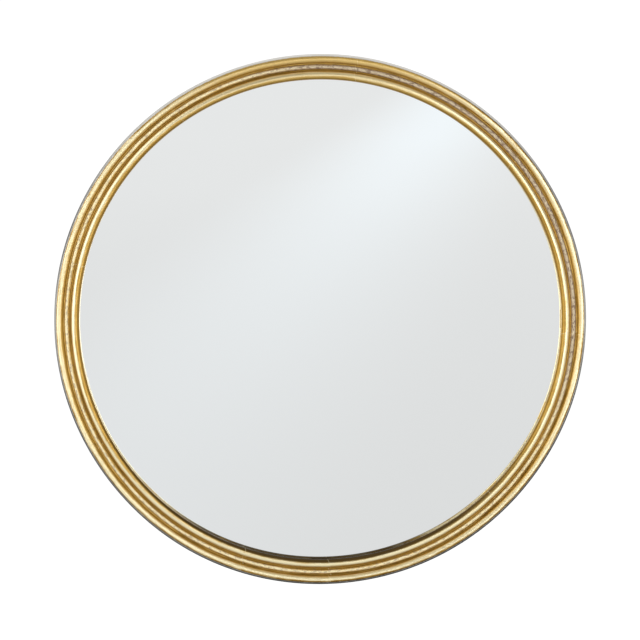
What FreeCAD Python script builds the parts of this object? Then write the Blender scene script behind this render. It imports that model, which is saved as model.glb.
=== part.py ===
import FreeCAD, Part
import math
import os

import Sketcher

# Round wall mirror: three gilt iron reeds on a flat back ring, with the glass and its board in a hoop behind.
# It is drawn lying on its back as on a bench: X to the right, Y up the wall, Z from the wall to the viewer.
# Every piece is then stood up, so the glass faces -Y and +Z is up. The origin is the centre, on the wall.

# Driving sizes in millimetres, with counts as plain numbers
SIZES = {
    # Reeds
    "overall_diameter": 800.0,
    "outer_reed_diameter": 14.0,
    "middle_reed_diameter": 10.0,
    "inner_reed_diameter": 14.0,
    "reed_gap": 0.1,
    "reed_seat_gap": 0.05,
    # Back ring, how far each edge is set back from the reeds' edge
    "ring_thickness": 3.0,
    "ring_outer_inset": 2.0,
    "ring_inner_inset": 4.0,
    # Glass and what lies round it
    "glass_thickness": 4.0,
    "glass_lap": 10.0,
    "glass_clearance": 1.5,
    "glass_arris": 0.6,
    "tape_thickness": 2.0,
    "tape_inset": 1.0,
    "foam_thickness": 1.0,
    "block_length": 40.0,
    "block_spread_angle": 50.0,
    # Board and hoop
    "board_thickness": 9.0,
    "board_clearance": 1.0,
    "board_arris": 1.0,
    "hoop_thickness": 3.0,
    # Welds
    "weld_gap": 0.05,
    "weld_length": 28.0,
    "weld_count": 16,
    "weld_foot": 1.8,
    "tack_length": 12.0,
    "seam_high_rise": 1.9,
    "seam_low_rise": 3.3,
    "hoop_weld_leg": 3.5,
    "lug_weld_leg": 2.5,
    # Turn buttons, their lugs, washers and screws
    "button_count": 6,
    "button_thickness": 2.0,
    "button_width": 12.0,
    "button_lap": 10.0,
    "button_play": 0.1,
    "button_hole_clearance": 0.08,
    "lug_reach": 13.0,
    "lug_width": 18.0,
    "lug_thickness": 3.0,
    "lug_clip": 3.0,
    "lug_hole_clearance": 0.05,
    "washer_diameter": 9.0,
    "washer_thickness": 0.6,
    "washer_play": 0.05,
    "washer_hole_clearance": 0.15,
    "pivot_diameter": 4.0,
    "pivot_head_diameter": 8.0,
    "pivot_head_height": 2.4,
    "pivot_overhang": 1.0,
    # Hangers
    "hanger_inset": 188.0,
    "hanger_rise": 150.0,
    "strap_thickness": 1.2,
    "strap_width": 14.0,
    "strap_corner": 5.0,
    "strap_end_margin": 7.0,
    "strap_hole_clearance": 0.25,
    "wire_diameter": 3.0,
    "bar_clearance": 0.08,
    "bar_overhang": 0.5,
    "ring_side_clearance": 2.0,
    "hanger_screw_diameter": 3.5,
    "hanger_screw_spacing": 24.0,
    "hanger_screw_clearance": 2.0,
    "hanger_head_diameter": 7.0,
    "hanger_head_height": 2.2,
    "pilot_clearance": 0.05,
    "screw_tip_margin": 0.7,
    "pilot_tip_room": 0.3,
    # Form of the screw heads
    "head_crown": 1.0,
    "cross_length": 4.0,
    "cross_width": 1.0,
    "cross_depth": 1.2,
    # Bumpers
    "bumper_count": 4,
    "bumper_diameter": 16.0,
    "bumper_chamfer": 1.0,
    "bumper_inset": 43.0,
    "wall_clearance": 0.44,
}

# Radii and levels that follow from them; a level is a distance from the wall
PLACES = {
    "outer_reed_radius": "(sizes.overall_diameter - sizes.outer_reed_diameter) / 2",
    "middle_reed_radius": "outer_reed_radius - sizes.reed_gap"
                          " - (sizes.outer_reed_diameter + sizes.middle_reed_diameter) / 2",
    "inner_reed_radius": "middle_reed_radius - sizes.reed_gap"
                         " - (sizes.middle_reed_diameter + sizes.inner_reed_diameter) / 2",
    "ring_outer_radius": "sizes.overall_diameter / 2 - sizes.ring_outer_inset",
    "ring_inner_radius": "inner_reed_radius - sizes.inner_reed_diameter / 2 + sizes.ring_inner_inset",
    "glass_radius": "ring_inner_radius + sizes.glass_lap",
    "hoop_inner_radius": "glass_radius + sizes.glass_clearance",
    "hoop_outer_radius": "hoop_inner_radius + sizes.hoop_thickness",
    "board_radius": "hoop_inner_radius - sizes.board_clearance",
    "pivot_radius": "hoop_outer_radius + sizes.lug_reach / 2",
    "bumper_radius": "board_radius - sizes.bumper_inset",
    "loop_inner_radius": "sizes.wire_diameter / 2 + sizes.bar_clearance",
    "loop_outer_radius": "loop_inner_radius + sizes.strap_thickness",
    "button_stack": "sizes.button_play + sizes.button_thickness + sizes.washer_play"
                    " + sizes.washer_thickness + sizes.pivot_head_height",
    "hanger_stack": "2 * loop_outer_radius",
    "wall_gap": "max(button_stack; hanger_stack) + sizes.wall_clearance",
    "board_front": "wall_gap + sizes.board_thickness",
    "glass_rear": "board_front + sizes.foam_thickness",
    "glass_front": "glass_rear + sizes.glass_thickness",
    "ring_rear": "glass_front + sizes.tape_thickness",
    "ring_front": "ring_rear + sizes.ring_thickness",
    "outer_reed_level": "ring_front + sizes.reed_seat_gap + sizes.outer_reed_diameter / 2",
    "middle_reed_level": "ring_front + sizes.reed_seat_gap + sizes.middle_reed_diameter / 2",
    "inner_reed_level": "ring_front + sizes.reed_seat_gap + sizes.inner_reed_diameter / 2",
    "lug_front": "wall_gap + sizes.lug_thickness",
    "button_rear": "wall_gap - sizes.button_play - sizes.button_thickness",
    "washer_rear": "button_rear - sizes.washer_play - sizes.washer_thickness",
    "pivot_head_rear": "washer_rear - sizes.pivot_head_height",
    "pivot_tip": "lug_front + sizes.pivot_overhang",
    "bar_level": "wall_gap - loop_outer_radius",
    "strap_rear": "wall_gap - sizes.strap_thickness",
    "hanger_spread": "board_radius - sizes.hanger_inset",
    "loop_reach": "loop_outer_radius * sqrt(2) + loop_inner_radius",
    "first_screw_height": "sizes.hanger_rise - loop_reach - sizes.hanger_head_diameter / 2"
                          " - sizes.hanger_screw_clearance",
    "second_screw_height": "first_screw_height - sizes.hanger_screw_spacing",
    "strap_foot": "second_screw_height - sizes.strap_end_margin",
    "bow_drop": "sizes.hanger_rise - first_screw_height + sizes.hanger_screw_spacing / 2",
    "ring_half_width": "sizes.strap_width / 2 + sizes.ring_side_clearance + sizes.wire_diameter / 2",
    "ring_leg": "bow_drop - ring_half_width",
    "ring_corner": "sizes.ring_side_clearance + sizes.wire_diameter / 2 - sizes.bar_overhang",
    "hanger_head_rear": "strap_rear - sizes.hanger_head_height",
    "hanger_screw_tip": "board_front - sizes.screw_tip_margin",
}

# Which way each hanger lies, seen from the front
SIDES = {"left": -1, "right": 1}

# Point numbers and axes of a sketch
START, END, CENTRE = range(1, 4)
ACROSS_AXIS, UP_AXIS = range(-1, -3, -1)
ORIGIN = (ACROSS_AXIS, START)

# The share of a reed's radius where a weld stitch ends on its flank, 30 degrees below the middle
WELD_TOE_SHARE = "sqrt(3) / 2"

# Turns the bench's up (Y) to the room's up (Z)
STANDING = FreeCAD.Rotation(FreeCAD.Vector(1, 0, 0), 90)

doc = FreeCAD.newDocument("round_mirror")
sizes = doc.addObject("Spreadsheet::Sheet", "sizes")
places = doc.addObject("Spreadsheet::Sheet", "places")


def fill_sheets():
    """Writes the driving sizes as plain numbers and the places as formulas on them."""
    for row, (alias, number) in enumerate(SIZES.items(), start=1):
        sizes.set("A%d" % row, str(number))
        sizes.setAlias("A%d" % row, alias)
    doc.recompute()
    for row, (alias, formula) in enumerate(PLACES.items(), start=1):
        places.set("A%d" % row, "=" + formula)
        places.setAlias("A%d" % row, alias)
        doc.recompute()


def value(expression):
    """The number that an expression on the two sheets comes to."""
    return float(sizes.evalExpression(expression))


# Sketching


def new_body(label, turn=0.0):
    """A piece of its own, stood up on the wall, turned anticlockwise about the mirror's centre."""
    body = doc.addObject("PartDesign::Body", label)
    body.Label = label
    about_centre = FreeCAD.Rotation(FreeCAD.Vector(0, 0, 1), turn)
    body.Placement = FreeCAD.Placement(FreeCAD.Vector(), STANDING.multiply(about_centre))
    return body


def datum(body, role):
    """One of the body's own origin planes or axes."""
    return next(feature for feature in body.Origin.OriginFeatures if feature.Role == role)


def new_sketch(body, name, plane="XZ_Plane", offset=None):
    """A sketch on an origin plane, moved along the plane's normal by an expression."""
    sketch = body.newObject("Sketcher::SketchObject", name)
    sketch.AttachmentSupport = [(datum(body, plane), "")]
    sketch.MapMode = "FlatFace"
    if offset:
        sketch.setExpression("AttachmentOffset.Base.z", offset)
    return sketch


def bind(sketch, constraint, expression):
    """Adds a dimension and ties it to the sheets."""
    index = sketch.addConstraint(constraint)
    name = "bound_%d" % index
    sketch.renameConstraint(index, name)
    sketch.setExpression("Constraints." + name, expression)


def pin(sketch, geometry, point, across=None, up=None):
    """Holds a point at its two expressions; 0 lays it on the axis and None leaves it free that way."""
    if across == "0":
        sketch.addConstraint(Sketcher.Constraint("PointOnObject", geometry, point, UP_AXIS))
    elif across:
        limit = Sketcher.Constraint("DistanceX", *ORIGIN, geometry, point, value(across))
        bind(sketch, limit, across)
    if up == "0":
        sketch.addConstraint(Sketcher.Constraint("PointOnObject", geometry, point, ACROSS_AXIS))
    elif up:
        limit = Sketcher.Constraint("DistanceY", *ORIGIN, geometry, point, value(up))
        bind(sketch, limit, up)


def vector(across, up):
    return FreeCAD.Vector(value(across), value(up), 0)


def join(sketch, first, second):
    """Ends one edge where the next one starts, each given as (geometry, point)."""
    sketch.addConstraint(Sketcher.Constraint("Coincident", *first, *second))


def draw_line(sketch, first, second):
    """A straight edge between two places, not yet held."""
    return sketch.addGeometry(Part.LineSegment(vector(*first), vector(*second)), False)


def draw_outline(sketch, corners):
    """A closed straight-sided outline with every corner held."""
    count = len(corners)
    edges = [draw_line(sketch, corners[i], corners[(i + 1) % count]) for i in range(count)]
    for i in range(count):
        join(sketch, (edges[i], END), (edges[(i + 1) % count], START))
        pin(sketch, edges[i], START, *corners[i])


def draw_ring_section(sketch, inner, outer, rear, front):
    """The rectangle that a flat ring or disc is turned from."""
    draw_outline(sketch, [(inner, rear), (outer, rear), (outer, front), (inner, front)])


def draw_circle(sketch, across, up, diameter):
    circle = Part.Circle(vector(across, up), FreeCAD.Vector(0, 0, 1), value(diameter) / 2)
    geometry = sketch.addGeometry(circle, False)
    pin(sketch, geometry, CENTRE, across, up)
    bind(sketch, Sketcher.Constraint("Diameter", geometry, value(diameter)), diameter)


def draw_arc(sketch, centre, radius, start_degrees, end_degrees):
    """An anticlockwise arc about a held centre, its ends still free along it."""
    circle = Part.Circle(vector(*centre), FreeCAD.Vector(0, 0, 1), value(radius))
    arc = Part.ArcOfCircle(circle, math.radians(start_degrees), math.radians(end_degrees))
    geometry = sketch.addGeometry(arc, False)
    pin(sketch, geometry, CENTRE, *centre)
    bind(sketch, Sketcher.Constraint("Radius", geometry, value(radius)), radius)
    return geometry


def draw_turning_axis(sketch, across):
    """A construction line, level by level, for what is turned about its own middle."""
    top = "places.ring_front"
    line = sketch.addGeometry(Part.LineSegment(vector(across, "0"), vector(across, top)), True)
    pin(sketch, line, START, across, "0")
    pin(sketch, line, END, across, top)


# Features


def turn(body, sketch, name, axis="V_Axis", angle=None):
    """Revolves a section all the way round, or over an angle with the section in its middle."""
    feature = body.newObject("PartDesign::Revolution", name)
    feature.Profile = sketch
    feature.ReferenceAxis = (sketch, [axis])
    feature.Angle = 360
    if angle:
        feature.Midplane = True
        feature.setExpression("Angle", angle)
    return feature


def raise_plate(body, sketch, name, length):
    """Pads an outline from the wall's side towards the viewer."""
    feature = body.newObject("PartDesign::Pad", name)
    feature.Profile = sketch
    feature.setExpression("Length", length)
    return feature


def sink_hole(body, sketch, name, depth, towards_viewer):
    """Cuts an outline into the piece, and makes sure that it took something away."""
    doc.recompute()
    before = body.Shape.Volume
    feature = body.newObject("PartDesign::Pocket", name)
    feature.Profile = sketch
    feature.Reversed = towards_viewer
    feature.setExpression("Length", depth)
    doc.recompute()
    if not body.Shape.Volume < before:
        raise RuntimeError("%s cuts nothing" % name)
    return feature


def repeat_round(body, features, name, count, angle="360"):
    """Copies features about the mirror's centre."""
    feature = body.newObject("PartDesign::PolarPattern", name)
    feature.Originals = features
    feature.Axis = (datum(body, "Z_Axis"), [""])
    feature.setExpression("Angle", angle)
    feature.setExpression("Occurrences", count)
    body.Tip = feature
    return feature


def arc_angle(length, radius):
    """The angle in degrees that a length takes up on a circle."""
    return "%s / %s * 180 / pi" % (length, radius)


# Frame


def make_reed(which):
    """A round bar rolled to a ring."""
    body = new_body(which + "_reed")
    sketch = new_sketch(body, which + "_bar_section")
    radius = "places.%s_reed_radius" % which
    level = "places.%s_reed_level" % which
    draw_circle(sketch, radius, level, "sizes.%s_reed_diameter" % which)
    turn(body, sketch, which + "_bar_ring")
    return body


def make_flat_ring(label, inner, outer, rear, front):
    """A ring of rectangular section."""
    body = new_body(label)
    sketch = new_sketch(body, label + "_section")
    draw_ring_section(sketch, inner, outer, rear, front)
    turn(body, sketch, label + "_turned")
    return body


def add_edge_stitches(body, which, edge, outward):
    """Weld stitches between an edge of the back ring and the flank of the reed that overhangs it."""
    radius = "places.%s_reed_radius" % which
    level = "places.%s_reed_level" % which
    bar = "sizes.%s_reed_diameter / 2" % which
    flank = "%s + sizes.weld_gap" % bar
    toe = "%s + %d * %s * %s" % (radius, outward, bar, WELD_TOE_SHARE)
    foot = "places.ring_front - sizes.weld_foot"
    sketch = new_sketch(body, which + "_stitch_section")
    reach = (value(edge) - value(radius)) / value(flank)
    edge_degrees = 270 + math.degrees(math.asin(reach))
    toe_degrees = 270 + math.degrees(math.asin((value(toe) - value(radius)) / value(flank)))
    arc = draw_arc(sketch, (radius, level), flank, *sorted((edge_degrees, toe_degrees)))
    edge_point = START if outward > 0 else END
    toe_point = END if outward > 0 else START
    riser = draw_line(sketch, (edge, foot), (edge, "places.ring_front"))
    slope = draw_line(sketch, (toe, "places.ring_front"), (edge, foot))
    join(sketch, (riser, END), (arc, edge_point))
    join(sketch, (arc, toe_point), (slope, START))
    join(sketch, (slope, END), (riser, START))
    pin(sketch, riser, START, edge, foot)
    pin(sketch, arc, edge_point, edge)
    pin(sketch, arc, toe_point, toe)
    stitch = turn(body, sketch, which + "_stitch", angle=arc_angle("sizes.weld_length", edge))
    repeat_round(body, [stitch], which + "_stitches", "sizes.weld_count")


def add_valley_tacks(body, outer, inner):
    """Tacks in the narrow valley between two reeds and the ring, as thick as the valley leaves room for."""
    outer_bar = "sizes.%s_reed_diameter / 2" % outer
    inner_bar = "sizes.%s_reed_diameter / 2" % inner
    room = "1 / (1 / sqrt(%s) + 1 / sqrt(%s)) ^ 2" % (outer_bar, inner_bar)
    radius = "places.%s_reed_radius - 2 * sqrt(%s * %s)" % (outer, outer_bar, room)
    level = "places.ring_front + %s" % room
    sketch = new_sketch(body, outer + "_tack_section")
    draw_circle(sketch, radius, level, "2 * (%s - sizes.weld_gap)" % room)
    tack = turn(body, sketch, outer + "_tack", angle=arc_angle("sizes.tack_length", "places.ring_outer_radius"))
    repeat_round(body, [tack], outer + "_tacks", "sizes.weld_count")


def draw_flank(sketch, centre, radius, root, toe, side):
    """An arc up one side of a bar, from the root's level to the toe's; returns its root and its toe."""
    rises = [math.degrees(math.asin((value(level) - value(centre[1])) / value(radius))) for level in (root, toe)]
    if side > 0:
        arc = draw_arc(sketch, centre, radius, *rises)
        ends = ((arc, START), (arc, END))
    else:
        arc = draw_arc(sketch, centre, radius, *(180 - rise for rise in reversed(rises)))
        ends = ((arc, END), (arc, START))
    pin(sketch, *ends[0], up=root)
    pin(sketch, *ends[1], up=toe)
    return ends


def bridge(sketch, first, second):
    """A straight edge between two points that are already held, each given as (geometry, point)."""
    segment = Part.LineSegment(sketch.getPoint(*first), sketch.getPoint(*second))
    line = sketch.addGeometry(segment, False)
    join(sketch, (line, START), first)
    join(sketch, (line, END), second)


def add_valley_seam(body, which, outward):
    """Solder in the front valley between the middle reed and the higher one outside or inside it."""
    high = ("places.%s_reed_radius" % which, "places.%s_reed_level" % which)
    low = ("places.middle_reed_radius", "places.middle_reed_level")
    high_flank = "sizes.%s_reed_diameter / 2 + sizes.weld_gap" % which
    low_flank = "sizes.middle_reed_diameter / 2 + sizes.weld_gap"
    root = high[1]
    sketch = new_sketch(body, which + "_seam_section")
    high_root, high_toe = draw_flank(sketch, high, high_flank, root, root + " + sizes.seam_high_rise", -outward)
    low_root, low_toe = draw_flank(sketch, low, low_flank, root, low[1] + " + sizes.seam_low_rise", outward)
    bridge(sketch, high_toe, low_toe)
    bridge(sketch, high_root, low_root)
    turn(body, sketch, which + "_seam")


def make_valley_seams():
    """Two rings of solder that make the valleys between the reeds shallow, so that the leaf runs across them."""
    body = new_body("valley_seams")
    add_valley_seam(body, "outer", 1)
    add_valley_seam(body, "inner", -1)
    return body


def make_reed_welds():
    """What joins the reeds to the back ring and to each other."""
    body = new_body("reed_welds")
    add_edge_stitches(body, "outer", "places.ring_outer_radius", 1)
    add_edge_stitches(body, "inner", "places.ring_inner_radius", -1)
    add_valley_tacks(body, "outer", "middle")
    add_valley_tacks(body, "middle", "inner")
    return body


def make_hoop_welds():
    """Fillet welds between hoop and back ring, and between the lugs and the hoop."""
    body = new_body("hoop_welds")
    hoop = "places.hoop_outer_radius"
    foot = new_sketch(body, "hoop_stitch_section")
    draw_outline(foot, [
        (hoop, "places.ring_rear - sizes.hoop_weld_leg"),
        (hoop + " + sizes.hoop_weld_leg", "places.ring_rear"),
        (hoop, "places.ring_rear"),
    ])
    stitch = turn(body, foot, "hoop_stitch", angle=arc_angle("sizes.weld_length", hoop))
    repeat_round(body, [stitch], "hoop_stitches", "sizes.weld_count")
    corner = new_sketch(body, "lug_stitch_section")
    draw_outline(corner, [
        (hoop, "places.lug_front"),
        (hoop + " + sizes.lug_weld_leg", "places.lug_front"),
        (hoop, "places.lug_front + sizes.lug_weld_leg"),
    ])
    lug_stitch = turn(body, corner, "lug_stitch", angle=arc_angle("sizes.lug_width", hoop))
    repeat_round(body, [lug_stitch], "lug_stitches", "sizes.button_count")
    return body


# Glass and board


def make_mirror_glass():
    """Silvered float glass with its sharp edges taken off."""
    body = new_body("mirror_glass")
    sketch = new_sketch(body, "glass_section")
    rim = "places.glass_radius"
    eased = "places.glass_radius - sizes.glass_arris"
    draw_outline(sketch, [
        ("0", "places.glass_rear"),
        (eased, "places.glass_rear"),
        (rim, "places.glass_rear + sizes.glass_arris"),
        (rim, "places.glass_front - sizes.glass_arris"),
        (eased, "places.glass_front"),
        ("0", "places.glass_front"),
    ])
    turn(body, sketch, "glass_disc")
    return body


def make_setting_blocks():
    """Two rubber blocks low in the hoop that the glass stands on."""
    lowest = -90
    body = new_body("setting_blocks", lowest - value("sizes.block_spread_angle") / 2)
    sketch = new_sketch(body, "block_section")
    draw_ring_section(
        sketch, "places.glass_radius", "places.hoop_inner_radius", "places.glass_rear", "places.glass_front"
    )
    block = turn(body, sketch, "block", angle=arc_angle("sizes.block_length", "places.hoop_inner_radius"))
    repeat_round(body, [block], "block_pair", "2", "sizes.block_spread_angle")
    return body


def make_back_board():
    """Fibreboard disc with eased rear edge and blind pilot holes for the hanger screws."""
    body = new_body("back_board")
    sketch = new_sketch(body, "board_section")
    rim = "places.board_radius"
    draw_outline(sketch, [
        ("0", "places.wall_gap"),
        (rim + " - sizes.board_arris", "places.wall_gap"),
        (rim, "places.wall_gap + sizes.board_arris"),
        (rim, "places.board_front"),
        ("0", "places.board_front"),
    ])
    turn(body, sketch, "board_disc")
    pilots = new_sketch(body, "pilot_holes", "XY_Plane", "places.wall_gap")
    for side in SIDES.values():
        for height in ("places.first_screw_height", "places.second_screw_height"):
            draw_circle(
                pilots,
                "%d * places.hanger_spread" % side,
                height,
                "sizes.hanger_screw_diameter + 2 * sizes.pilot_clearance",
            )
    depth = "places.hanger_screw_tip - places.wall_gap + sizes.pilot_tip_room"
    sink_hole(body, pilots, "pilot_bores", depth, True)
    return body


# Turn buttons


def make_button_lugs():
    """Plates on the outside of the hoop, curved to it, with a tapped hole for the button's screw."""
    body = new_body("button_lugs")
    sketch = new_sketch(body, "lug_outline", "XY_Plane", "places.wall_gap")
    hoop = "places.hoop_outer_radius"
    far = "places.hoop_outer_radius + sizes.lug_reach"
    half = "sizes.lug_width / 2"
    clip = "sizes.lug_clip"
    near = "sqrt(%s ^ 2 - (%s) ^ 2)" % (hoop, half)
    spread = math.degrees(math.asin(value(half) / value(hoop)))
    circle = Part.Circle(FreeCAD.Vector(), FreeCAD.Vector(0, 0, 1), value(hoop))
    arc = Part.ArcOfCircle(circle, math.radians(-spread), math.radians(spread))
    seat = sketch.addGeometry(arc, False)
    join(sketch, (seat, CENTRE), ORIGIN)
    bind(sketch, Sketcher.Constraint("Radius", seat, value(hoop)), hoop)
    pin(sketch, seat, START, up="-(%s)" % half)
    pin(sketch, seat, END, up=half)
    corners = [
        (near, half),
        (far + " - " + clip, half),
        (far, half + " - " + clip),
        (far, "-(%s) + %s" % (half, clip)),
        (far + " - " + clip, "-(%s)" % half),
        (near, "-(%s)" % half),
    ]
    edges = [draw_line(sketch, corners[i], corners[i + 1]) for i in range(len(corners) - 1)]
    join(sketch, (seat, END), (edges[0], START))
    for i in range(1, len(edges)):
        join(sketch, (edges[i - 1], END), (edges[i], START))
        pin(sketch, edges[i], START, *corners[i])
    join(sketch, (edges[-1], END), (seat, START))
    tapped = "sizes.pivot_diameter + 2 * sizes.lug_hole_clearance"
    draw_circle(sketch, "places.pivot_radius", "0", tapped)
    lug = raise_plate(body, sketch, "lug", "sizes.lug_thickness")
    repeat_round(body, [lug], "lugs", "sizes.button_count")
    return body


def make_turn_button(number):
    """A round-ended plate on its screw, lying across the rim of the board."""
    step = 360 / value("sizes.button_count")
    body = new_body("turn_button_%d" % number, (number - 1) * step)
    name = "button_%d" % number
    sketch = new_sketch(body, name + "_outline", "XY_Plane", "places.button_rear")
    pivot = "places.pivot_radius"
    half = "sizes.button_width / 2"
    tip = "places.board_radius - sizes.button_lap + " + half
    tail_end = draw_arc(sketch, (pivot, "0"), half, -90, 90)
    tip_end = draw_arc(sketch, (tip, "0"), half, 90, 270)
    upper = draw_line(sketch, (pivot, half), (tip, half))
    lower = draw_line(sketch, (tip, "-(%s)" % half), (pivot, "-(%s)" % half))
    for arc in (tail_end, tip_end):
        for point in (START, END):
            sketch.addConstraint(Sketcher.Constraint("Vertical", arc, CENTRE, arc, point))
    join(sketch, (tail_end, END), (upper, START))
    join(sketch, (upper, END), (tip_end, START))
    join(sketch, (tip_end, END), (lower, START))
    join(sketch, (lower, END), (tail_end, START))
    draw_circle(sketch, pivot, "0", "sizes.pivot_diameter + 2 * sizes.button_hole_clearance")
    raise_plate(body, sketch, name + "_plate", "sizes.button_thickness")
    return body


def make_pivot_washers():
    """Washers between the buttons and the heads of their screws."""
    body = new_body("pivot_washers")
    sketch = new_sketch(body, "washer_outline", "XY_Plane", "places.washer_rear")
    draw_circle(sketch, "places.pivot_radius", "0", "sizes.washer_diameter")
    hole = "sizes.pivot_diameter + 2 * sizes.washer_hole_clearance"
    draw_circle(sketch, "places.pivot_radius", "0", hole)
    washer = raise_plate(body, sketch, "washer", "sizes.washer_thickness")
    repeat_round(body, [washer], "washers", "sizes.button_count")
    return body


# Screws


def add_screw(body, name, across, height, kind, rear, seat, tip):
    """A crowned head with a cross recess on a plain shank; returns its two features."""
    head = "sizes.%s_head_diameter / 2" % kind
    shank = "sizes.%s_diameter / 2" % ("pivot" if kind == "pivot" else "hanger_screw")
    section = new_sketch(body, name + "_section", offset="-(%s)" % height)
    draw_turning_axis(section, across)
    draw_outline(section, [
        (across, rear),
        ("%s + %s - sizes.head_crown" % (across, head), rear),
        ("%s + %s" % (across, head), rear + " + sizes.head_crown"),
        ("%s + %s" % (across, head), seat),
        ("%s + %s" % (across, shank), seat),
        ("%s + %s" % (across, shank), "%s - %s" % (tip, shank)),
        ("%s + %s / 2" % (across, shank), tip),
        (across, tip),
    ])
    turned = turn(body, section, name, axis="Axis0")
    cross = new_sketch(body, name + "_cross_outline", "XY_Plane", rear)
    arm = "sizes.cross_length / 2"
    slot = "sizes.cross_width / 2"
    quarter = [(arm, slot), (slot, slot), (slot, arm)]
    corners = []
    for right, up in ((1, 1), (-1, 1), (-1, -1), (1, -1)):
        run = quarter if right * up > 0 else quarter[::-1]
        for x, y in run:
            corners.append(("%s + %d * %s" % (across, right, x), "%s + %d * %s" % (height, up, y)))
    draw_outline(cross, corners)
    recess = sink_hole(body, cross, name + "_cross", "sizes.cross_depth", True)
    return [turned, recess]


def make_pivot_screws():
    """The screws that the turn buttons swivel on."""
    body = new_body("pivot_screws")
    screw = add_screw(
        body, "pivot_screw", "places.pivot_radius", "0 * sizes.pivot_diameter", "pivot",
        "places.pivot_head_rear", "places.washer_rear", "places.pivot_tip",
    )
    repeat_round(body, screw, "pivot_screw_set", "sizes.button_count")
    return body


def make_hanger_screws():
    """Two wood screws through each strap into the board."""
    body = new_body("hanger_screws")
    for side_name, side in SIDES.items():
        for row in ("first", "second"):
            add_screw(
                body, "%s_%s_screw" % (side_name, row), "%d * places.hanger_spread" % side,
                "places.%s_screw_height" % row, "hanger",
                "places.hanger_head_rear", "places.strap_rear", "places.hanger_screw_tip",
            )
    return body


# Hangers


def make_hanger_strap(side_name):
    """A strip of steel folded round the bar of its ring, closed back onto itself at 45 degrees."""
    body = new_body("hanger_strap_" + side_name)
    spread = "%d * places.hanger_spread" % SIDES[side_name]
    section = new_sketch(body, side_name + "_strap_section", "YZ_Plane", spread)
    bar = ("sizes.hanger_rise", "places.bar_level")
    outer = "places.loop_outer_radius"
    inner = "places.loop_inner_radius"
    fold_start = 225
    fold_end = 450
    outside = draw_arc(section, bar, outer, fold_start, fold_end)
    inside = draw_arc(section, bar, inner, fold_start, fold_end)
    for arc, radius in ((outside, outer), (inside, inner)):
        pin(section, arc, START, "sizes.hanger_rise - %s / sqrt(2)" % radius)
        pin(section, arc, END, "sizes.hanger_rise")
    tail_outside = "sizes.hanger_rise - places.loop_reach"
    tail_inside = "sizes.hanger_rise - %s * (1 + sqrt(2))" % inner
    fold = "sizes.hanger_rise - %s / sqrt(2)"
    low = "places.bar_level - %s / sqrt(2)"
    foot = "places.strap_foot"
    face = "places.strap_rear"
    board = "places.wall_gap"
    back = draw_line(section, ("sizes.hanger_rise", board), (foot, board))
    end = draw_line(section, (foot, board), (foot, face))
    front = draw_line(section, (foot, face), (tail_outside, face))
    tail = draw_line(section, (tail_outside, face), (fold % outer, low % outer))
    join(section, (outside, END), (back, START))
    join(section, (back, END), (end, START))
    join(section, (end, END), (front, START))
    join(section, (front, END), (tail, START))
    join(section, (tail, END), (outside, START))
    pin(section, end, START, foot, board)
    pin(section, front, START, foot, face)
    pin(section, tail, START, tail_outside, face)
    floor = draw_line(section, ("sizes.hanger_rise", face), (tail_inside, face))
    slope = draw_line(section, (tail_inside, face), (fold % inner, low % inner))
    join(section, (inside, END), (floor, START))
    join(section, (floor, END), (slope, START))
    join(section, (slope, END), (inside, START))
    pin(section, slope, START, tail_inside, face)
    strip = raise_plate(body, section, side_name + "_strip", "sizes.strap_width")
    strip.SideType = "Symmetric"
    holes = new_sketch(body, side_name + "_strap_holes", "XY_Plane", board)
    for height in ("places.first_screw_height", "places.second_screw_height"):
        draw_circle(holes, spread, height, "sizes.hanger_screw_diameter + 2 * sizes.strap_hole_clearance")
    drilled = sink_hole(body, holes, side_name + "_strap_drilled", "sizes.strap_thickness", False)
    rounded = body.newObject("PartDesign::Fillet", side_name + "_strap_rounded")
    rounded.Base = (drilled, foot_edges(drilled.Shape, value(foot)))
    rounded.setExpression("Radius", "sizes.strap_corner")
    return body


def foot_edges(shape, foot):
    """Names of the two short edges at the strap's lower corners, which run square to the board."""
    names = []
    for number, edge in enumerate(shape.Edges, start=1):
        first, last = (vertex.Point for vertex in (edge.Vertexes[0], edge.Vertexes[-1]))
        at_foot = math.isclose(first.y, foot) and math.isclose(last.y, foot)
        if at_foot and math.isclose(first.x, last.x):
            names.append("Edge%d" % number)
    return names


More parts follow.
